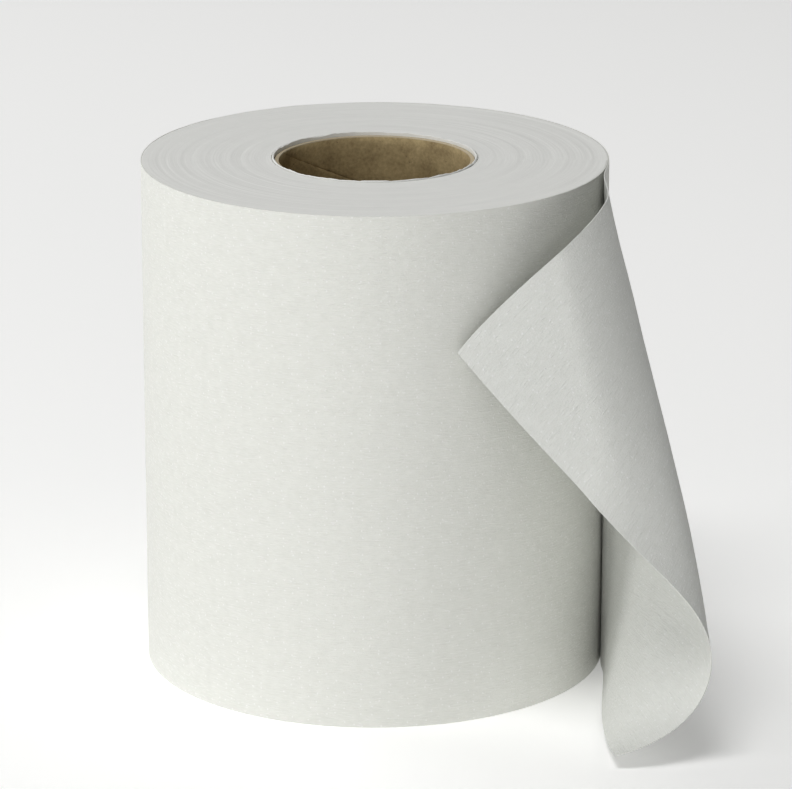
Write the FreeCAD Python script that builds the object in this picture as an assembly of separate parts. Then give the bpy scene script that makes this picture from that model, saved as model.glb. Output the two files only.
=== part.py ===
import FreeCAD, Part
import os
from math import atan2, cos, degrees, hypot, pi, radians, sin, sqrt

Vector = FreeCAD.Vector

# Paper towel roll standing on its end. Millimetres, +Z up, origin on the roll's axis in its base plane.

# Web: the sheet that is wound into the roll
webWidth = 203.0
rollRadius = 91.5
sheetThickness = 0.5

# Core: a wound paperboard tube, a little shorter than the web
boreRadius = 37.5
coreWall = 1.5
coreShort = 1.0
coreClearance = 0.3

# Turns that stand proud on both ends, as one spiral band from near the core to near the outside
turnPitch = 9.6
turnGap = 4.8
turnDepth = 0.5
turnInset = 2.0
turnOutset = 3.0
innerEndAngle = 150.0

# Loose tail: lengths along the web, and leans from upright. Its lower part leans outward up to a fold
# line that falls from the root to the free end. Beyond that line the flap lies back over the roll.
seamAngle = -4.0
stubLength = 3.0
tailLength = 126.5
foldOut = 79.5
foldHeight = 70.0
foldRise = 7.0
foldPower = 1.38
foldWidth = 87.0
foldWidthPower = 0.1
foldLeadRatio = 0.98
leanBack = 48.7
leanBackPower = 1.17
wallBowRatio = 1.1
flapLift = 11.4
bulgeOutward = 10.1
dipInward = 15.5
flareOutward = 23.3
cornerLift = 5.6

# Fineness of the tail: strips along the web, points up each strip's edge, steps between two of either
stripCount = 11
pointCount = 14
fineSteps = 5

coreRadius = boreRadius + coreWall
paperBoreRadius = coreRadius + coreClearance
coreLength = webWidth - coreShort


def smoothStep(t):
    t = min(max(t, 0.0), 1.0)
    return t * t * (3.0 - 2.0 * t)


def baseOffset(share):
    # Outward offset and height of the sheet's lower edge
    out = bulgeOutward * share * (1.0 - share) - dipInward * share ** 2 + flareOutward * share ** 3
    return out, cornerLift * share ** 3


def leanAngle(share, height):
    # Lean of the sheet from upright: outward below the fold line, and back over the roll above it
    out, up = baseOffset(share)
    fallen = share ** foldPower
    acrossToFold = foldOut * fallen - out
    upToFold = webWidth + foldRise + (foldHeight - webWidth - foldRise) * fallen - up
    foldLine = hypot(acrossToFold, upToFold)
    width = foldWidth * max(share, 0.001) ** foldWidthPower
    turned = smoothStep((height - foldLine) / width + foldLeadRatio)
    outward = atan2(acrossToFold, upToFold)
    back = radians(leanBack) * share ** leanBackPower
    lifted = radians(flapLift) * share * max(height - foldLine, 0.0) / webWidth
    bowed = 1.0 - wallBowRatio * (height / foldLine - 0.5) * (1.0 - turned)
    return outward * bowed - (outward + back) * turned + lifted


def columnProfile(share, rows):
    # Outward offset and height of each point up the sheet, summed along the sheet from its lower edge
    out, up = baseOffset(share)
    step = webWidth / (rows - 1)
    profile = [(out, up)]
    for row in range(1, rows):
        lean = leanAngle(share, step * (row - 0.5))
        out += sin(lean) * step
        up += cos(lean) * step
        profile.append((out, up))
    return profile


def sheetPoints():
    # Fine grid of the tail's outer face. The web isn't stretched: each column's reach from the last
    # is what its sideways move leaves of the length along the web.
    rows = pointCount * fineSteps + 1
    columns = (stripCount - 1) * fineSteps + 1
    pace = tailLength / (columns - 1)
    reach = [stubLength] * rows
    last = columnProfile(0.0, rows)
    grid = []
    for column in range(columns):
        profile = columnProfile(column / (columns - 1), rows)
        if column > 0:
            for row in range(rows):
                sideways = hypot(profile[row][0] - last[row][0], profile[row][1] - last[row][1])
                reach[row] += sqrt(max(pace ** 2 - sideways ** 2, 0.05 * pace ** 2))
        grid.append([Vector(rollRadius + out, -reach[row], up) for row, (out, up) in enumerate(profile)])
        last = profile
    return grid


def inwardNormal(grid, column, row):
    # Unit vector square to the sheet, towards the roll
    if column == 0:
        return Vector(-1, 0, 0)
    before, after = grid[column - 1][row], grid[min(column + 1, len(grid) - 1)][row]
    below, above = grid[column][max(row - 1, 0)], grid[column][min(row + 1, len(grid[0]) - 1)]
    normal = (after - before).cross(above - below)
    return normal.normalize()


def edgeCurve(points):
    # Smooth curve up one strip's edge; all of them share the same parameters
    curve = Part.BSplineCurve()
    curve.interpolate(Points=points, Parameters=[float(i) for i in range(len(points))])
    return curve


def ruledFace(one, other):
    # Face of straight lines between two curves that share their parameters
    surface = Part.BSplineSurface()
    surface.buildFromPolesMultsKnots([one.getPoles(), other.getPoles()], [2, 2], one.getMultiplicities(),
                                     [0.0, 1.0], one.getKnots(), False, False, 1, one.Degree)
    return surface.toShape()


def cutFace(outerStart, outerEnd, innerEnd, innerStart):
    # Narrow face on the upper or lower edge of one strip
    return Part.makeFilledFace(Part.makePolygon([outerStart, outerEnd, innerEnd, innerStart, outerStart]).Edges)


def makeTail():
    # Thin closed sheet from its root in the seam plane to its free end, as ruled strips side by side
    grid = sheetPoints()
    root = [Vector(point.x, 0, point.z) for point in grid[0][::fineSteps]]
    outerRows, innerRows = [root], [[point - Vector(sheetThickness, 0, 0) for point in root]]
    for column in range(0, len(grid), fineSteps):
        rows = range(0, len(grid[0]), fineSteps)
        outerRows.append([grid[column][row] for row in rows])
        innerRows.append([grid[column][row] + inwardNormal(grid, column, row) * sheetThickness for row in rows])
    outer = [edgeCurve(points) for points in outerRows]
    inner = [edgeCurve(points) for points in innerRows]
    faces = [ruledFace(outer[0], inner[0]), ruledFace(outer[-1], inner[-1])]
    for k in range(len(outer) - 1):
        faces += [ruledFace(outer[k], outer[k + 1]), ruledFace(inner[k], inner[k + 1])]
        for end in (0, -1):
            faces.append(cutFace(outerRows[k][end], outerRows[k + 1][end],
                                 innerRows[k + 1][end], innerRows[k][end]))
    shell = Part.Shell(faces)
    shell.sewShape()
    tail = Part.Solid(shell)
    if tail.Volume < 0:
        tail.reverse()
    return tail


def spiralArcs(startRadius, growth, halfTurns, aside, height):
    # Spiral of half-turn arcs about two centres. Its radius changes by growth in each whole turn, and
    # aside moves the whole spiral square to itself.
    halfTurn = degrees(pi)
    arcs = []
    for k in range(halfTurns):
        radius = startRadius + growth * k / 2.0 + aside
        centre = Vector(growth / 2.0 if k % 2 else 0.0, 0, height)
        start = halfTurn if k % 2 else 0.0
        arcs.append(Part.makeCircle(radius, centre, Vector(0, 0, 1), start, start + halfTurn))
    return arcs


def spiralEnd(startRadius, growth, halfTurns, aside, height):
    # Last point of the same spiral, on the line through its two centres
    reach = startRadius + growth * halfTurns / 2.0
    return Vector(-reach - aside if halfTurns % 2 else reach + aside, 0, height)


def closedTurn(radius, growth):
    # Solid inside one turn whose end steps in or out by one sheet's thickness
    arcs = spiralArcs(radius, growth, 2, 0.0, 0.0)
    step = Part.makeLine(Vector(radius + growth, 0, 0), Vector(radius, 0, 0))
    return Part.Face(Part.Wire(arcs + [step])).extrude(Vector(0, 0, webWidth))


def turnGroove(height):
    # Spiral groove that leaves the band of proud turns standing
    startRadius = paperBoreRadius + turnInset
    room = rollRadius - sheetThickness - turnOutset - turnGap - startRadius
    halfTurns = int(2.0 * room / turnPitch)
    near = spiralArcs(startRadius, turnPitch, halfTurns, 0.0, height)
    far = spiralArcs(startRadius, turnPitch, halfTurns, turnGap, height)
    startCap = Part.makeLine(Vector(startRadius + turnGap, 0, height), Vector(startRadius, 0, height))
    endCap = Part.makeLine(spiralEnd(startRadius, turnPitch, halfTurns, 0.0, height),
                           spiralEnd(startRadius, turnPitch, halfTurns, turnGap, height))
    outline = Part.Wire(near + [endCap] + far[::-1] + [startCap])
    groove = Part.Face(outline).extrude(Vector(0, 0, turnDepth))
    groove.rotate(Vector(0, 0, 0), Vector(0, 0, 1), innerEndAngle)
    return groove


def makePaper():
    wound = closedTurn(rollRadius, -sheetThickness)
    inside = closedTurn(paperBoreRadius, sheetThickness)
    inside.rotate(Vector(0, 0, 0), Vector(0, 0, 1), innerEndAngle)
    wound = wound.cut([inside, turnGroove(0.0), turnGroove(webWidth - turnDepth)])
    web = wound.fuse(makeTail())
    web.rotate(Vector(0, 0, 0), Vector(0, 0, 1), seamAngle)
    return web


def makeCore():
    return Part.makeCylinder(coreRadius, coreLength).cut(Part.makeCylinder(boreRadius, coreLength))


os.makedirs("parts", exist_ok=True)
pieces = {"cardboard_core": makeCore(), "paper_towel": makePaper()}
for name, shape in pieces.items():
    box = shape.BoundBox
    print(name, shape.isValid(), len(shape.Solids), round(shape.Volume),
          [round(v, 2) for v in (box.XMin, box.YMin, box.ZMin, box.XMax, box.YMax, box.ZMax)])
    shape.exportStep(os.path.join("parts", name + ".step"))
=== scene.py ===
import bpy
from math import atan2, cos, hypot, pi, radians, sin, sqrt
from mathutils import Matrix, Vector, noise


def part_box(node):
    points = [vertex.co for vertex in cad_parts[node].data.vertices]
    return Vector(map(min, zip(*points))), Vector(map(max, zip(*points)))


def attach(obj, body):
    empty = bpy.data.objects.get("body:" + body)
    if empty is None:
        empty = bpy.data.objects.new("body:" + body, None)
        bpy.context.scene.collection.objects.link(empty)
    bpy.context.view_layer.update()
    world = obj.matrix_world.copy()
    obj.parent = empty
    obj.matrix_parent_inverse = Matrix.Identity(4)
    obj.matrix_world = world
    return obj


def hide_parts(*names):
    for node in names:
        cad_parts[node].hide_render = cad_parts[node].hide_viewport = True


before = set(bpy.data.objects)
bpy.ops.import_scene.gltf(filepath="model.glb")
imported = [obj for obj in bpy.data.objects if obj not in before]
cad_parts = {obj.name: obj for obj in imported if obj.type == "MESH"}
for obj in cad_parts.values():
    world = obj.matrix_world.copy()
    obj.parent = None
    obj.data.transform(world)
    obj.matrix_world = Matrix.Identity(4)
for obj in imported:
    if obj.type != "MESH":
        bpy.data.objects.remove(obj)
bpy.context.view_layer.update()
print("frame loaded")

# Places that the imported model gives
towelLow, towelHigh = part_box("paper_towel")
coreLow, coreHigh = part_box("cardboard_core")
webWidth = towelHigh.z - towelLow.z
rollRadius = -towelLow.x
coreRadius = coreHigh.x
coreLength = coreHigh.z - coreLow.z
fullTurn = 2 * pi

# Photograph's view: the roll's middle is at middlePixel in a frame of frameSize
view = {
    "distance": 1.83,
    "elevation": 17.2,
    "focalPixels": 4614.0,
    "frameSize": (792, 789),
    "middlePixel": (375.0, 405.2),
    "sensor": 36.0,
    "farEnd": 50.0,
}

# Plain pale floor, a faint even sky and five soft lights that aim at one point
studio = {
    "floorSize": 14.0,
    "floorColor": (0.96, 0.96, 0.95, 1.0),
    "floorRoughness": 0.9,
    "floorGlow": 0.25,
    "skyColor": (1.0, 1.0, 1.0, 1.0),
    "skyStrength": 0.03,
    "lightReach": 4.0,
    "lightTarget": (0, 0, 0.1),
    # degrees round from the camera's side, degrees up from the floor, power, size
    "lights": {
        "backLight": (-130.0, 40.0, 40.0, 1.8),
        "leftLight": (-70.0, 8.0, 36.0, 0.9),
        "frontLeftLight": (-35.0, 14.0, 13.0, 1.8),
        "frontLight": (8.0, 6.0, 25.5, 1.8),
        "topLight": (-30.0, 70.0, 76.0, 1.8),
    },
}


def deselectAll():
    if bpy.context.object and bpy.context.object.mode != "OBJECT":
        bpy.ops.object.mode_set(mode="OBJECT")
    bpy.ops.object.select_all(action="DESELECT")


def makeActive(piece):
    deselectAll()
    piece.select_set(True)
    bpy.context.view_layer.objects.active = piece


def editAll():
    bpy.ops.object.mode_set(mode="EDIT")
    bpy.ops.mesh.select_all(action="SELECT")


def faceAway(piece, faceIndex, outwards):
    # turns the whole surface over if this face looks the wrong way from the roll's axis
    face = piece.data.polygons[faceIndex]
    looksIn = face.normal.dot(Vector((face.center.x, face.center.y, 0))) < 0
    if looksIn == outwards:
        piece.data.flip_normals()


def addWall(piece, wall):
    # thickness behind the side that the faces look to
    thicken = piece.modifiers.new("wall", "SOLIDIFY")
    thicken.thickness = wall
    thicken.offset = -1.0
    bpy.ops.object.modifier_apply(modifier=thicken.name)


def placeCamera():
    tilt = radians(view["elevation"])
    middle = Vector((0, 0, webWidth / 2))
    ahead = Vector((0, cos(tilt), -sin(tilt)))
    up = Vector((0, sin(tilt), cos(tilt)))
    offRight = (view["frameSize"][0] / 2 - view["middlePixel"][0]) / view["focalPixels"]
    offUp = (view["middlePixel"][1] - view["frameSize"][1] / 2) / view["focalPixels"]
    aim = (ahead + Vector((1, 0, 0)) * offRight + up * offUp).normalized()
    data = bpy.data.cameras.new("photoCamera")
    data.sensor_width = view["sensor"]
    data.lens = view["focalPixels"] * view["sensor"] / view["frameSize"][0]
    data.clip_end = view["farEnd"]
    camera = bpy.data.objects.new("photoCamera", data)
    camera.location = middle - ahead * view["distance"]
    camera.rotation_mode = "QUATERNION"
    camera.rotation_quaternion = aim.to_track_quat("-Z", "Y")
    bpy.context.scene.collection.objects.link(camera)
    bpy.context.scene.camera = camera


def addSoftLight(name, around, above, power, size):
    data = bpy.data.lights.new(name, "AREA")
    data.shape = "SQUARE"
    data.size = size
    data.energy = power
    turned, raised = radians(around), radians(above)
    towards = Vector((sin(turned) * cos(raised), -cos(turned) * cos(raised), sin(raised)))
    light = bpy.data.objects.new(name, data)
    light.location = Vector(studio["lightTarget"]) + towards * studio["lightReach"]
    light.rotation_mode = "QUATERNION"
    light.rotation_quaternion = (-towards).to_track_quat("-Z", "Y")
    light.visible_camera = False
    bpy.context.scene.collection.objects.link(light)


def buildStudio():
    deselectAll()
    bpy.ops.mesh.primitive_plane_add(size=studio["floorSize"], location=(0, 0, 0))
    ground = bpy.context.object
    ground.name = "studioFloor"
    paint = bpy.data.materials.new("paleFloor")
    paint.use_nodes = True
    shader = paint.node_tree.nodes["Principled BSDF"]
    shader.inputs["Base Color"].default_value = studio["floorColor"]
    shader.inputs["Roughness"].default_value = studio["floorRoughness"]
    shader.inputs["Emission Color"].default_value = studio["floorColor"]
    shader.inputs["Emission Strength"].default_value = studio["floorGlow"]
    ground.data.materials.append(paint)
    world = bpy.data.worlds.new("studioSky")
    world.use_nodes = True
    sky = world.node_tree.nodes["Background"]
    sky.inputs["Color"].default_value = studio["skyColor"]
    sky.inputs["Strength"].default_value = studio["skyStrength"]
    bpy.context.scene.world = world
    bpy.context.scene.view_settings.view_transform = "Standard"
    for name, (around, above, power, size) in studio["lights"].items():
        addSoftLight(name, around, above, power, size)


placeCamera()
buildStudio()
print("camera and studio ready")

# Last turn and loose tail of the web, one sheet. Lengths in metres, leans in degrees. A share runs
# from 0 at the tail's root to 1 at its free end.
tail = {
    "seamAngle": -4.0,
    "stub": 0.003,
    "length": 0.1265,
    "foldOut": 0.0795,
    "foldHeight": 0.070,
    "foldRise": 0.007,
    "foldPower": 1.38,
    "foldWidth": 0.087,
    "foldWidthPower": 0.1,
    "foldLeadRatio": 0.98,
    "leastShare": 0.001,
    "leanBack": 48.7,
    "leanBackPower": 1.17,
    "wallBowRatio": 1.1,
    "flapLift": 11.4,
    "bulgeOutward": 0.0101,
    "dipInward": 0.0155,
    "flareOutward": 0.0233,
    "cornerLift": 0.0056,
    "turnStep": 0.0005,
    "thickness": 0.00035,
    "overlap": 5.0,
    "columnStep": 0.0019,
    "leastPaceRatio": 0.05,
    "rows": 84,
    # where the sheet leaves the roll, low down and at the top, and the height where this changes
    "clingFrom": 0.003,
    "clingFromTop": 0.007,
    "clingReach": 0.023,
    "clingReachTop": 0.045,
    "clingMiddle": 0.09,
    # ripples, each with its noise scales along and up the sheet and a seed
    "ripple": 0.00035,
    "rippleNoise": (38.0, 30.0, 1.7),
    "creaseRatio": 0.4,
    "creaseNoise": (6.0, 90.0, 4.2),
    "woundRatio": 0.3,
    # uneven edges: noise scale along the sheet, places of the lower and upper edge, and a seed
    "edgeRipple": 0.00016,
    "edgeNoise": (55.0, 2.3, 9.1, 0.4),
    "smoothAngle": 40.0,
}


def smoothStep(t):
    t = min(max(t, 0.0), 1.0)
    return t * t * (3 - 2 * t)


def baseOffset(share):
    # outward offset and height of the sheet's lower edge
    out = tail["bulgeOutward"] * share * (1 - share) - tail["dipInward"] * share ** 2
    return out + tail["flareOutward"] * share ** 3, tail["cornerLift"] * share ** 3


def leanAngle(share, height):
    # lean from upright: outward below the fold line, and back over the roll above it
    out, up = baseOffset(share)
    fallen = share ** tail["foldPower"]
    topOfFold = webWidth + tail["foldRise"]
    acrossToFold = tail["foldOut"] * fallen - out
    upToFold = topOfFold + (tail["foldHeight"] - topOfFold) * fallen - up
    foldLine = hypot(acrossToFold, upToFold)
    width = tail["foldWidth"] * max(share, tail["leastShare"]) ** tail["foldWidthPower"]
    turned = smoothStep((height - foldLine) / width + tail["foldLeadRatio"])
    outward = atan2(acrossToFold, upToFold)
    back = radians(tail["leanBack"]) * share ** tail["leanBackPower"]
    lifted = radians(tail["flapLift"]) * share * max(height - foldLine, 0.0) / webWidth
    bowed = 1 - tail["wallBowRatio"] * (height / foldLine - 0.5) * (1 - turned)
    return outward * bowed - (outward + back) * turned + lifted


def columnProfile(share):
    # outward offset and height up one column of the tail
    out, up = baseOffset(share)
    step = webWidth / tail["rows"]
    profile = [(out, up)]
    for row in range(1, tail["rows"] + 1):
        lean = leanAngle(share, step * (row - 0.5))
        out += sin(lean) * step
        up += cos(lean) * step
        profile.append((out, up))
    return profile


def tailColumns():
    # each column keeps its distance along the web from the last
    count = round(tail["length"] / tail["columnStep"])
    pace = tail["length"] / count
    leastSquare = tail["leastPaceRatio"] * pace ** 2
    reach = [tail["stub"]] * (tail["rows"] + 1)
    last = columnProfile(0.0)
    columns = []
    for column in range(count + 1):
        profile = columnProfile(column / count)
        if column > 0:
            for row in range(tail["rows"] + 1):
                sideways = hypot(profile[row][0] - last[row][0], profile[row][1] - last[row][1])
                reach[row] += sqrt(max(pace ** 2 - sideways ** 2, leastSquare))
        points = [Vector((rollRadius + out, -reach[row], up)) for row, (out, up) in enumerate(profile)]
        columns.append((tail["stub"] + column * pace, points))
        last = profile
    return columns


def wrapColumns():
    # last turn round the roll, from under the root of the tail back to the seam
    full = fullTurn + radians(tail["overlap"])
    count = round(full * rollRadius / tail["columnStep"])
    columns = []
    for column in range(count + 1):
        angle = full * (1 - column / count)
        radius = rollRadius - tail["turnStep"] * angle / fullTurn
        points = []
        for row in range(tail["rows"] + 1):
            height = webWidth * row / tail["rows"]
            points.append(Vector((radius * cos(angle), radius * sin(angle), height)))
        columns.append((-angle * rollRadius, points))
    return columns


def sheetNoise(along, height, kind):
    alongScale, upScale, seed = tail[kind]
    return noise.noise(Vector((along * alongScale, height * upScale, seed)))


def edgeShift(along, upperEdge):
    # the edges only draw back into the sheet
    scale, lowerPlace, upperPlace, seed = tail["edgeNoise"]
    place = upperPlace if upperEdge else lowerPlace
    shift = tail["edgeRipple"] * noise.noise(Vector((along * scale, place, seed)))
    return min(shift, 0.0) if upperEdge else max(shift, 0.0)


def sheetPoint(along, row, point):
    # one point of the sheet with its cling and ripples, turned to the seam
    height = webWidth * row / tail["rows"]
    radial = Vector((point.x, point.y, 0)).normalized()
    if along > 0:
        # beside its root the sheet still clings to the roll
        upper = smoothStep((height - tail["clingMiddle"]) / tail["clingMiddle"])
        start = tail["clingFrom"] + (tail["clingFromTop"] - tail["clingFrom"]) * upper
        reach = tail["clingReach"] + (tail["clingReachTop"] - tail["clingReach"]) * upper
        away = smoothStep((along - start) / reach)
        point = point - radial * (hypot(point.x, point.y) - rollRadius) * (1 - away)
    loose = smoothStep(along / tail["length"])
    wave = tail["ripple"] * loose * sheetNoise(along, height, "rippleNoise")
    crease = tail["creaseRatio"] * tail["ripple"] * sheetNoise(along, height, "creaseNoise")
    point = point + radial * (wave + min(crease, 0.0)) * (tail["woundRatio"] if along < 0 else 1.0)
    if row in (0, tail["rows"]):
        point.z += edgeShift(along, row > 0)
    turn = radians(tail["seamAngle"])
    x = point.x * cos(turn) - point.y * sin(turn)
    y = point.x * sin(turn) + point.y * cos(turn)
    return x, y, point.z


def makeWeb():
    columns = wrapColumns() + tailColumns()
    rows = tail["rows"] + 1
    vertices, faces, sheetPlaces = [], [], []
    for along, points in columns:
        for row, point in enumerate(points):
            vertices.append(sheetPoint(along, row, point))
            sheetPlaces.append((along, webWidth * row / tail["rows"]))
    for column in range(len(columns) - 1):
        for row in range(rows - 1):
            a = column * rows + row
            faces.append((a, a + 1, a + rows + 1, a + rows))
    mesh = bpy.data.meshes.new("outerSheet")
    mesh.from_pydata(vertices, [], faces)
    # the piece's own map gives metres along the web and up it
    layer = mesh.uv_layers.new(name="sheetMap")
    for loop in mesh.loops:
        layer.data[loop.index].uv = sheetPlaces[loop.vertex_index]
    sheet = bpy.data.objects.new("outerSheet", mesh)
    bpy.context.scene.collection.objects.link(sheet)
    makeActive(sheet)
    editAll()
    bpy.ops.mesh.normals_make_consistent(inside=False)
    bpy.ops.object.mode_set(mode="OBJECT")
    faceAway(sheet, rows // 2, True)
    addWall(sheet, tail["thickness"])
    bpy.ops.object.shade_smooth_by_angle(angle=radians(tail["smoothAngle"]))
    return sheet


outerSheet = makeWeb()
print("last turn and loose tail made", len(outerSheet.data.polygons), "faces")

# Wound turns under the last one, with the edges of the turns on both ends
turns = {
    "boreClearance": 0.0003,
    "outerGap": 0.00038,
    "topRings": 112,
    "bottomRings": 44,
    "around": 264,
    "mergeReach": 0.00001,
    "smoothAngle": 50.0,
    "topDrop": 0.00005,
    "rimRound": 0.0002,
    "rimCornerRatio": 0.3,
    "sideLoop": 0.02,
    # spiral band of proud turns
    "bandPitch": 0.0096,
    "bandWidth": 0.0048,
    "bandDepth": 0.00006,
    "bandStart": 0.0020,
    "bandEnd": 0.003,
    "bandAngle": 150.0,
    "bandSlope": 18.0,
    # relief of the turns' edges, each with its noise scales across and round the roll and a seed
    "reliefDepth": 0.004,
    "turnsPerMetre": 1000.0,
    "fineRelief": 0.00007,
    "fineNoise": (1.9, 0.7, 0.0),
    "coarseRelief": 0.00007,
    "coarseNoise": (0.33, 0.5, 5.0),
    "bottomReliefDepth": 0.0005,
    "bottomReliefEnd": 0.002,
    "stepSpread": 1.05,
    # torn inner lip of the paper, beside the core
    "lipWidth": 0.0007,
    "lipMargin": 0.0002,
    "lipGap": 0.0005,
    "lipGapDepth": 0.0010,
    "lipGapTaper": 0.0001,
    "lipRise": 0.0004,
    "lipBoreRatio": 0.6,
    "lipLoops": (0.03, 0.006),
    "lipWave": 0.0007,
    "lipWaveNoise": (5.5, 3.3),
    "lipWaveRatio": 0.6,
    "lipTearNoise": (17.0, 8.8),
    "lipTearRatio": 0.5,
    "lipShift": 0.0002,
}


def turnsProfile():
    # half section: up the bore and over the lip, out along the top, down the side, in along the bottom
    inner = coreRadius + turns["boreClearance"]
    outer = rollRadius - turns["outerGap"]
    top = webWidth - turns["topDrop"]
    lip = inner + turns["lipWidth"]
    start = lip + turns["lipGap"]
    rise, taper = turns["lipRise"], turns["lipGapTaper"]
    rim, loop = turns["rimRound"], turns["sideLoop"]
    corner = rim * turns["rimCornerRatio"]
    gapFloor = top - turns["lipGapDepth"]
    points = [(inner, top - down) for down in turns["lipLoops"]]
    points += [(inner, top + rise * turns["lipBoreRatio"]), (inner + turns["lipWidth"] / 2, top + rise)]
    points += [(lip, top + rise / 2), (lip + taper, gapFloor), (start - taper, gapFloor)]
    for ring in range(turns["topRings"] + 1):
        points.append((start + (outer - rim - start) * ring / turns["topRings"], top))
    points += [(outer - corner, top - corner), (outer, top - rim), (outer, top - loop)]
    points += [(outer, top / 2), (outer, loop), (outer, rim)]
    for ring in range(turns["bottomRings"] + 1):
        points.append((outer - rim - (outer - rim - inner) * ring / turns["bottomRings"], 0.0))
    points += [(inner, loop), (inner, top / 2)]
    return points


def bandMask(x, y, radius):
    # 1 in the hollow spiral between the proud bands of turns
    angle = (atan2(y, x) - radians(turns["bandAngle"] + tail["seamAngle"])) % fullTurn
    place = radius - coreRadius - turns["bandStart"] - turns["bandPitch"] * angle / fullTurn
    share = (place / turns["bandPitch"]) % 1.0
    limit = turns["bandWidth"] / turns["bandPitch"]
    slope = turns["bandSlope"]
    if place < 0 or radius > rollRadius - turns["bandEnd"] or share >= limit:
        return 0.0
    return smoothStep(share * slope) * smoothStep((limit - share) * slope)


def windingNoise(winding, side, kind):
    acrossScale, aroundScale, seed = turns[kind]
    return noise.noise(Vector((winding * acrossScale, side.x * aroundScale + seed, side.y * aroundScale)))


def lipNoise(side, kind):
    scale, seed = turns[kind]
    return noise.noise(Vector((side.x * scale, side.y * scale, seed)))


def relieveTurns(mesh):
    # the outside steps in under the last turn, both ends get their relief, and the lip is torn
    inner = coreRadius + turns["boreClearance"]
    lip = inner + turns["lipWidth"] + turns["lipMargin"]
    turn = radians(tail["seamAngle"])
    reliefFloor = webWidth - turns["reliefDepth"]
    for vertex in mesh.vertices:
        x, y, z = vertex.co
        radius = hypot(x, y)
        angle = (atan2(y, x) - turn) % fullTurn
        share = smoothStep((radius - inner) / (rollRadius - inner) * turns["stepSpread"])
        radius -= tail["turnStep"] * share * angle / fullTurn
        side = Vector((x, y, 0)).normalized()
        if z > reliefFloor and radius > lip:
            winding = radius * turns["turnsPerMetre"] + angle / fullTurn
            z += turns["fineRelief"] * windingNoise(winding, side, "fineNoise")
            z += turns["coarseRelief"] * windingNoise(winding, side, "coarseNoise")
            z -= turns["bandDepth"] * bandMask(x, y, radius)
        elif z > webWidth - turns["topDrop"]:
            wave = lipNoise(side, "lipWaveNoise")
            tear = lipNoise(side, "lipTearNoise")
            z += turns["lipWave"] * (turns["lipWaveRatio"] * wave + turns["lipTearRatio"] * tear)
            radius += turns["lipShift"] * wave
        elif z < turns["bottomReliefDepth"] and lip < radius < rollRadius - turns["bottomReliefEnd"]:
            z += turns["bandDepth"] * bandMask(x, y, radius)
        vertex.co = (side.x * radius, side.y * radius, z)


def makeTurns():
    points = turnsProfile()
    deselectAll()
    bpy.ops.mesh.primitive_plane_add(size=0.001, location=(0, 0, 0))
    piece = bpy.context.object
    piece.name = piece.data.name = "woundTurns"
    editAll()
    # the plane shrinks to one point, which is drawn along the half section and spun
    bpy.ops.mesh.merge(type="CENTER")
    first = points[0]
    bpy.ops.transform.translate(value=(first[0], 0, first[1]))
    for last, following in zip(points, points[1:]):
        step = (following[0] - last[0], 0, following[1] - last[1])
        bpy.ops.mesh.extrude_region_move(TRANSFORM_OT_translate={"value": step})
    # a face over all of them, deleted again, leaves the line closed
    bpy.ops.mesh.select_all(action="SELECT")
    bpy.ops.mesh.edge_face_add()
    bpy.ops.mesh.delete(type="ONLY_FACE")
    bpy.ops.mesh.select_all(action="SELECT")
    bpy.ops.mesh.spin(steps=turns["around"], angle=fullTurn, center=(0, 0, 0), axis=(0, 0, 1))
    bpy.ops.mesh.select_all(action="SELECT")
    bpy.ops.mesh.remove_doubles(threshold=turns["mergeReach"])
    bpy.ops.mesh.normals_make_consistent(inside=False)
    bpy.ops.object.mode_set(mode="OBJECT")
    relieveTurns(piece.data)
    bpy.ops.object.shade_smooth_by_angle(angle=radians(turns["smoothAngle"]))
    return piece


woundTurns = makeTurns()
print("wound turns made", len(woundTurns.data.polygons), "faces")

# Paperboard core: the joint of its inner ply runs round it as a helix
core = {
    "wall": 0.0015,
    "wallTolerance": 0.0001,
    "around": 144,
    "steps": 60,
    "seamPitch": 0.108,
    "seamPhase": 209.7,
    "seamWidth": 0.0006,
    "seamDepth": 0.00025,
    "seamMargin": 0.001,
    "rim": 0.0003,
    "rimSegments": 2,
    "rimAngle": 60.0,
    "smoothAngle": 40.0,
}


def angleOf(vertex):
    return atan2(vertex.co.y, vertex.co.x)


def placeRound(vertex, radius, angle):
    vertex.co = (radius * cos(angle), radius * sin(angle), vertex.co.z)


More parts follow.
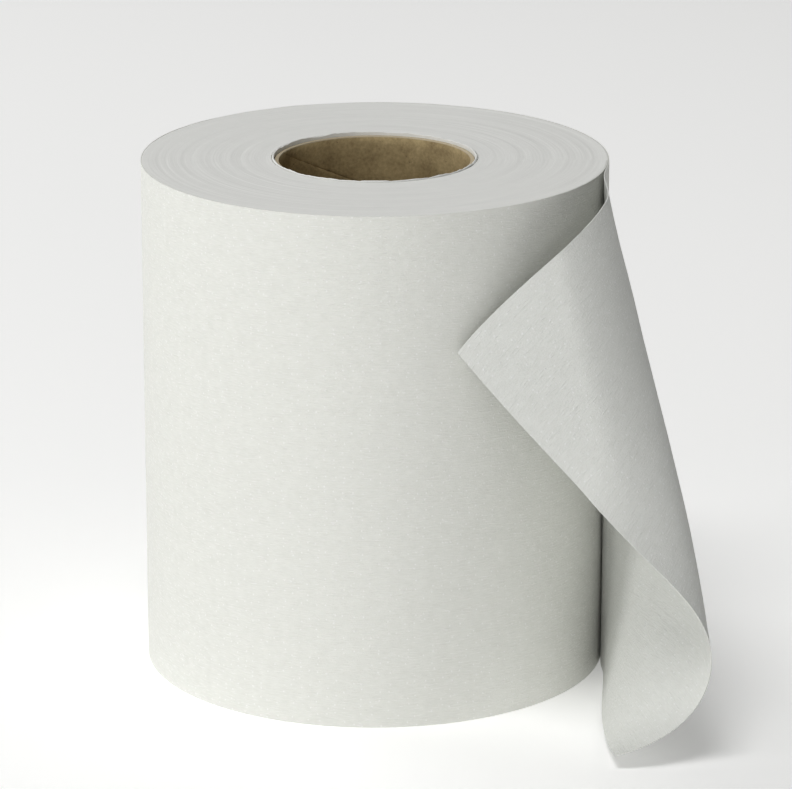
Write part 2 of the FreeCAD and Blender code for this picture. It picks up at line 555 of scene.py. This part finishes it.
def makeCore():
    inner = coreRadius - core["wall"]
    phase = radians(core["seamPhase"])
    deselectAll()
    bpy.ops.mesh.primitive_circle_add(vertices=core["around"], radius=inner, location=(0, 0, coreLow.z))
    piece = bpy.context.object
    piece.name = piece.data.name = "coreTube"
    bpy.ops.object.transform_apply(location=True, rotation=True, scale=True)
    # two corners beside the first one are drawn in to the seam's width
    corners = piece.data.vertices
    narrow = core["seamWidth"] / 2 / inner
    middle = angleOf(corners[0])
    for corner in (corners[1], corners[core["around"] - 1]):
        side = 1 if (angleOf(corner) - middle + pi) % fullTurn > pi else -1
        placeRound(corner, inner, middle + side * narrow)
    for corner in corners:
        placeRound(corner, inner, angleOf(corner) + phase - middle)
    editAll()
    rise = coreLength / core["steps"]
    for step in range(core["steps"]):
        bpy.ops.mesh.extrude_region_move(TRANSFORM_OT_translate={"value": (0, 0, rise)})
    bpy.ops.object.mode_set(mode="OBJECT")
    for vertex in piece.data.vertices:
        placeRound(vertex, inner, angleOf(vertex) + fullTurn * vertex.co.z / core["seamPitch"])
    editAll()
    bpy.ops.mesh.normals_make_consistent(inside=False)
    bpy.ops.object.mode_set(mode="OBJECT")
    faceAway(piece, core["around"] // 2, False)
    addWall(piece, core["wall"])
    # the joint is a shallow groove in the inner wall alone, and ends just short of both rims
    for vertex in piece.data.vertices:
        radius = hypot(vertex.co.x, vertex.co.y)
        seam = phase + fullTurn * vertex.co.z / core["seamPitch"]
        offSeam = (angleOf(vertex) - seam + pi) % fullTurn - pi
        onWall = radius < inner + core["wallTolerance"]
        offRims = core["seamMargin"] < vertex.co.z < coreLength - core["seamMargin"]
        if onWall and offRims and abs(offSeam) < narrow / 2:
            deeper = (radius + core["seamDepth"]) / radius
            vertex.co = (vertex.co.x * deeper, vertex.co.y * deeper, vertex.co.z)
    soften = piece.modifiers.new("rim", "BEVEL")
    soften.width = core["rim"]
    soften.segments = core["rimSegments"]
    soften.angle_limit = radians(core["rimAngle"])
    bpy.ops.object.modifier_apply(modifier=soften.name)
    bpy.ops.object.shade_smooth_by_angle(angle=radians(core["smoothAngle"]))
    return piece


coreTube = makeCore()
print("core made", len(coreTube.data.polygons), "faces")


def newMaterial(name):
    material = bpy.data.materials.new(name)
    material.use_nodes = True
    return material, material.node_tree, material.node_tree.nodes["Principled BSDF"]


def addNode(tree, kind, **values):
    node = tree.nodes.new(kind)
    for name, value in values.items():
        setattr(node, name, value)
    return node


def calculate(tree, operation, *values):
    # each value is a number or another node's output
    node = addNode(tree, "ShaderNodeMath", operation=operation)
    for socket, value in zip(node.inputs, values):
        if isinstance(value, (int, float)):
            socket.default_value = value
        else:
            tree.links.new(value, socket)
    return node.outputs[0]


def summed(tree, *terms):
    # sum of outputs, each times its own weight
    output, weight = terms[0]
    total = calculate(tree, "MULTIPLY", output, weight)
    for output, weight in terms[1:]:
        total = calculate(tree, "MULTIPLY_ADD", output, weight, total)
    return total


def eased(tree, value, low, high, least=0.0):
    # from least at low to 1 at high, with soft ends
    node = addNode(tree, "ShaderNodeMapRange", interpolation_type="SMOOTHSTEP")
    node.inputs["From Min"].default_value = low
    node.inputs["From Max"].default_value = high
    node.inputs["To Min"].default_value = least
    tree.links.new(value, node.inputs["Value"])
    return node.outputs["Result"]


def axesOf(tree, vector):
    node = addNode(tree, "ShaderNodeSeparateXYZ")
    tree.links.new(vector, node.inputs["Vector"])
    return node.outputs


def stretched(tree, vector, scale):
    node = addNode(tree, "ShaderNodeMapping")
    node.inputs["Scale"].default_value = scale
    tree.links.new(vector, node.inputs["Vector"])
    return node.outputs["Vector"]


def noiseOf(tree, vector, scale=1.0, detail=2.0, roughness=0.5):
    node = addNode(tree, "ShaderNodeTexNoise")
    node.inputs["Scale"].default_value = scale
    node.inputs["Detail"].default_value = detail
    node.inputs["Roughness"].default_value = roughness
    tree.links.new(vector, node.inputs["Vector"])
    return node.outputs["Fac"]


def colorBetween(tree, factor, low, high, span):
    ramp = addNode(tree, "ShaderNodeValToRGB")
    for element, place, color in zip(ramp.color_ramp.elements, span, (low, high)):
        element.position = place
        element.color = (*color, 1.0)
    tree.links.new(factor, ramp.inputs["Fac"])
    return ramp.outputs["Color"]


def mixColor(tree, factor, output, color, blend="MIX"):
    # a plain colour over another node's colour; a Mix node's colour sockets go by number
    node = addNode(tree, "ShaderNodeMix", data_type="RGBA", blend_type=blend)
    tree.links.new(factor, node.inputs["Factor"])
    tree.links.new(output, node.inputs[6])
    node.inputs[7].default_value = (*color, 1.0)
    return node.outputs[2]


def addBump(tree, shader, height, distance):
    bump = addNode(tree, "ShaderNodeBump")
    bump.inputs["Strength"].default_value = 1.0
    bump.inputs["Distance"].default_value = distance
    tree.links.new(height, bump.inputs["Height"])
    tree.links.new(bump.outputs["Normal"], shader.inputs["Normal"])


def setFinish(shader, finish):
    for name, value in finish.items():
        shader.inputs[name].default_value = value


# Clouds and fine fibres that every paper surface shares
fibre = {
    "cloudDetail": 3.0,
    "fibreDetail": 4.0,
    "roughness": 0.6,
}


def makeFibreGroup():
    group = bpy.data.node_groups.new("fibreClouds", "ShaderNodeTree")
    group.interface.new_socket("Vector", in_out="INPUT", socket_type="NodeSocketVector")
    for name in ("Cloud Scale", "Fibre Scale"):
        group.interface.new_socket(name, in_out="INPUT", socket_type="NodeSocketFloat")
    for name in ("Clouds", "Fibres"):
        group.interface.new_socket(name, in_out="OUTPUT", socket_type="NodeSocketFloat")
    source = addNode(group, "NodeGroupInput")
    result = addNode(group, "NodeGroupOutput")
    for scale, detail, target in (("Cloud Scale", fibre["cloudDetail"], "Clouds"),
                                  ("Fibre Scale", fibre["fibreDetail"], "Fibres")):
        pattern = addNode(group, "ShaderNodeTexNoise")
        pattern.inputs["Detail"].default_value = detail
        pattern.inputs["Roughness"].default_value = fibre["roughness"]
        group.links.new(source.outputs["Vector"], pattern.inputs["Vector"])
        group.links.new(source.outputs[scale], pattern.inputs["Scale"])
        group.links.new(pattern.outputs["Fac"], result.inputs[target])
    return group


fibreClouds = makeFibreGroup()


def placeFibres(tree, vector, cloudScale, fibreScale):
    node = addNode(tree, "ShaderNodeGroup", node_tree=fibreClouds)
    node.inputs["Cloud Scale"].default_value = cloudScale
    node.inputs["Fibre Scale"].default_value = fibreScale
    tree.links.new(vector, node.inputs["Vector"])
    return node.outputs["Clouds"], node.outputs["Fibres"]


# Creped face of the web. A tone weight acts on the colour, and a height weight on the relief.
paper = {
    "light": (0.876, 0.881, 0.837),
    "shade": (0.757, 0.764, 0.714),
    "toneSpan": (0.18, 0.62),
    # painted highlight: near-white colour laid on the raised dots and dashes, as where light catches them
    "raised": (0.97, 0.97, 0.95),
    "cloudScale": 210.0,
    "cloudTone": 0.3,
    "cloudHeight": 0.4,
    "fibreScale": 1500.0,
    "fibreHeight": 0.3,
    "streakScale": (300.0, 1700.0, 1.0),
    "streakDetail": 3.0,
    "streakTone": 0.5,
    "streakHeight": 0.42,
    "longStreakScale": (9.0, 330.0, 1.0),
    "longStreakHeight": 0.6,
    "dashSpan": (0.58, 0.72),
    "dashHighlight": 0.5,
    "dashLoss": 0.2,
    "dashHeight": 0.18,
    "dotScale": 290.0,
    "dotJitter": 0.8,
    "dotSize": 0.155,
    "dotsLeftOut": 0.45,
    "dotHighlight": 0.85,
    "dotHeight": 0.14,
    "looseTint": (0.885, 0.89, 0.90),
    "looseSpan": (0.0, 0.03),
    "relief": 0.00042,
    "finish": {"Roughness": 0.95, "Specular IOR Level": 0.15, "Sheen Weight": 0.08},
}


def makeSheetPaper():
    # streaks and dashes run along the sheet, with small raised dots over them; the dots and dashes get a
    # painted highlight
    material, tree, shader = newMaterial("crepedPaper")
    sheetMap = addNode(tree, "ShaderNodeUVMap", uv_map="sheetMap").outputs["UV"]
    clouds, fibres = placeFibres(tree, sheetMap, paper["cloudScale"], paper["fibreScale"])
    streaks = noiseOf(tree, stretched(tree, sheetMap, paper["streakScale"]), detail=paper["streakDetail"])
    longStreaks = noiseOf(tree, stretched(tree, sheetMap, paper["longStreakScale"]))
    dots = addNode(tree, "ShaderNodeTexVoronoi", voronoi_dimensions="2D")
    dots.inputs["Scale"].default_value = paper["dotScale"]
    dots.inputs["Randomness"].default_value = paper["dotJitter"]
    tree.links.new(sheetMap, dots.inputs["Vector"])
    split = addNode(tree, "ShaderNodeSeparateColor")
    tree.links.new(dots.outputs["Color"], split.inputs["Color"])
    chosen = calculate(tree, "GREATER_THAN", split.outputs["Red"], paper["dotsLeftOut"])
    dot = calculate(tree, "MULTIPLY", eased(tree, dots.outputs["Distance"], paper["dotSize"], 0.0), chosen)
    # the strongest streaks stand out as short dashes with a painted highlight, weaker on the loose sheet
    dash = eased(tree, streaks, *paper["dashSpan"])
    loose = eased(tree, axesOf(tree, sheetMap)["X"], *paper["looseSpan"])
    dashHighlightShare = calculate(tree, "MULTIPLY_ADD", loose, -paper["dashLoss"], paper["dashHighlight"])
    raised = summed(tree, (dot, paper["dotHighlight"]), (dash, dashHighlightShare))
    tone = summed(tree, (streaks, paper["streakTone"]), (clouds, paper["cloudTone"]))
    color = colorBetween(tree, tone, paper["shade"], paper["light"], paper["toneSpan"])
    # painted highlight: the raised dots and dashes are mixed toward near white
    color = mixColor(tree, raised, color, paper["raised"])
    # one loose layer is greyer than the wound turns, which have paper behind them
    color = mixColor(tree, loose, color, paper["looseTint"], "MULTIPLY")
    tree.links.new(color, shader.inputs["Base Color"])
    height = summed(tree, (longStreaks, paper["longStreakHeight"]), (streaks, paper["streakHeight"]),
                    (dash, paper["dashHeight"]), (fibres, paper["fibreHeight"]),
                    (clouds, paper["cloudHeight"]), (dot, paper["dotHeight"]))
    addBump(tree, shader, height, paper["relief"])
    setFinish(shader, paper["finish"])
    return material


# Cut edges of the turns, seen on both ends
endPaper = {
    "light": (0.91, 0.912, 0.88),
    "shade": (0.83, 0.835, 0.805),
    "toneSpan": (0.3, 0.65),
    "lineScale": 1500.0,
    "lineTone": 0.45,
    "groupScale": 260.0,
    "groupTone": 0.35,
    "arcScale": 1.6,
    "ringMean": 0.4,
    "ringHeight": 1.2,
    "patchScale": 24.0,
    "patchDetail": 1.0,
    "patchSpan": (0.42, 0.62),
    "patchLeast": 0.2,
    "cloudScale": 160.0,
    "cloudTone": 0.2,
    "fibreScale": 1900.0,
    "fibreHeight": 0.3,
    "relief": 0.00012,
    "finish": {"Roughness": 0.95, "Specular IOR Level": 0.1},
}


def ringNoise(tree, axes, radius, scale):
    # noise drawn out into rings round the roll's axis
    rings = addNode(tree, "ShaderNodeCombineXYZ")
    tree.links.new(calculate(tree, "MULTIPLY", radius, scale), rings.inputs["X"])
    for axis, target in (("X", "Y"), ("Y", "Z")):
        direction = calculate(tree, "DIVIDE", axes[axis], radius)
        tree.links.new(calculate(tree, "MULTIPLY", direction, endPaper["arcScale"]), rings.inputs[target])
    return noiseOf(tree, rings.outputs["Vector"])


def makeEndPaper():
    # fine rings that fade in and out round the roll
    material, tree, shader = newMaterial("turnEdges")
    place = addNode(tree, "ShaderNodeTexCoord").outputs["Object"]
    axes = axesOf(tree, place)
    square = calculate(tree, "MULTIPLY", axes["X"], axes["X"])
    radius = calculate(tree, "SQRT", calculate(tree, "MULTIPLY_ADD", axes["Y"], axes["Y"], square))
    lines = ringNoise(tree, axes, radius, endPaper["lineScale"])
    groups = ringNoise(tree, axes, radius, endPaper["groupScale"])
    clouds, fibres = placeFibres(tree, place, endPaper["cloudScale"], endPaper["fibreScale"])
    rings = summed(tree, (groups, endPaper["groupTone"]), (lines, endPaper["lineTone"]))
    patches = noiseOf(tree, place, endPaper["patchScale"], endPaper["patchDetail"])
    patches = eased(tree, patches, *endPaper["patchSpan"], endPaper["patchLeast"])
    faded = calculate(tree, "MULTIPLY", calculate(tree, "SUBTRACT", rings, endPaper["ringMean"]), patches)
    tone = calculate(tree, "ADD", faded, endPaper["ringMean"])
    tone = calculate(tree, "MULTIPLY_ADD", clouds, endPaper["cloudTone"], tone)
    color = colorBetween(tree, tone, endPaper["shade"], endPaper["light"], endPaper["toneSpan"])
    tree.links.new(color, shader.inputs["Base Color"])
    height = summed(tree, (faded, endPaper["ringHeight"]), (fibres, endPaper["fibreHeight"]))
    addBump(tree, shader, height, endPaper["relief"])
    setFinish(shader, endPaper["finish"])
    return material


# Brown board of the core
kraft = {
    "dark": (0.235, 0.168, 0.08),
    "light": (0.60, 0.47, 0.25),
    "toneSpan": (0.32, 0.72),
    "cloudScale": 95.0,
    "cloudTone": 0.6,
    "fibreScale": 900.0,
    "fibreTone": 0.45,
    "fleck": (0.055, 0.036, 0.02),
    "fleckScale": 420.0,
    "fleckRoughness": 0.7,
    "fleckSpan": (0.69, 0.78),
    "cutEdge": (0.56, 0.48, 0.34),
    "cutEdgeDepth": 0.0004,
    "cutEdgeCover": 0.6,
    "cutEdgeMottle": 0.6,
    "relief": 0.0001,
    "finish": {"Roughness": 0.82, "Specular IOR Level": 0.3},
}


def makeKraft():
    material, tree, shader = newMaterial("kraftBoard")
    place = addNode(tree, "ShaderNodeTexCoord").outputs["Object"]
    clouds, fibres = placeFibres(tree, place, kraft["cloudScale"], kraft["fibreScale"])
    tone = summed(tree, (clouds, kraft["cloudTone"]), (fibres, kraft["fibreTone"]))
    color = colorBetween(tree, tone, kraft["dark"], kraft["light"], kraft["toneSpan"])
    flecks = noiseOf(tree, place, kraft["fleckScale"], roughness=kraft["fleckRoughness"])
    color = mixColor(tree, eased(tree, flecks, *kraft["fleckSpan"]), color, kraft["fleck"])
    # the cut edges at both ends are paler than the faces
    height = axesOf(tree, place)["Z"]
    onTop = calculate(tree, "GREATER_THAN", height, coreLength - kraft["cutEdgeDepth"])
    onBottom = calculate(tree, "LESS_THAN", height, kraft["cutEdgeDepth"])
    onEnd = calculate(tree, "MAXIMUM", onTop, onBottom)
    cover = calculate(tree, "MULTIPLY_ADD", clouds, kraft["cutEdgeMottle"], kraft["cutEdgeCover"])
    color = mixColor(tree, calculate(tree, "MULTIPLY", onEnd, cover), color, kraft["cutEdge"])
    tree.links.new(color, shader.inputs["Base Color"])
    addBump(tree, shader, tone, kraft["relief"])
    setFinish(shader, kraft["finish"])
    return material


outerSheet.data.materials.append(makeSheetPaper())
woundTurns.data.materials.append(makeEndPaper())
coreTube.data.materials.append(makeKraft())
print("materials made")

for piece, node, slot in ((outerSheet, "paper_towel", "paper"), (woundTurns, "paper_towel", "paper"),
                          (coreTube, "cardboard_core", "cardboard")):
    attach(piece, "root")
    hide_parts(node)
